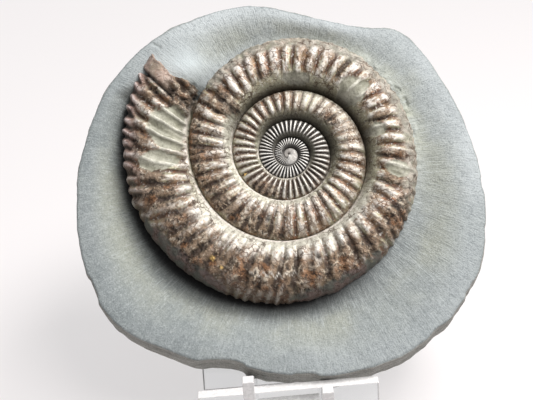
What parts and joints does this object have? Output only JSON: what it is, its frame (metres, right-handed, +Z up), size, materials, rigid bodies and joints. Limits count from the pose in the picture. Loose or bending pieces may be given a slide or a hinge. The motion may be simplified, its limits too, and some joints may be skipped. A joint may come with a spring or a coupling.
{
  "type": "ammonite fossil on a display stand",
  "caption": "Coiled, ribbed ammonite standing proud of a rounded grey shale slab that leans back on a clear slotted acrylic stand.",
  "frame": {"origin": "middle of the bounding box on the table, under the stand", "axes": "+X along the slab's width, to the right seen from the front; -Y is the front, which the ammonite faces; +Z up"},
  "size_m": [0.1128, 0.0904, 0.1075],
  "materials": {
    "shale": "fine-grained matt blue-grey shale with faint olive tints and scraper marks",
    "fossil_shell": "pewter to bronze mineralised shell, satin to bright on the rib crests, rusty where broken",
    "clear_acrylic": "clear, polished, with bright laser-cut edges"
  },
  "bodies": {
    "root": {"shale_slab": "shale", "ammonite_shell": "fossil_shell", "stand_side_left": "clear_acrylic", "stand_side_right": "clear_acrylic", "stand_front_lip": "clear_acrylic", "stand_back_plate": "clear_acrylic", "stand_spacer": "clear_acrylic"}
  },
  "joints": []
}
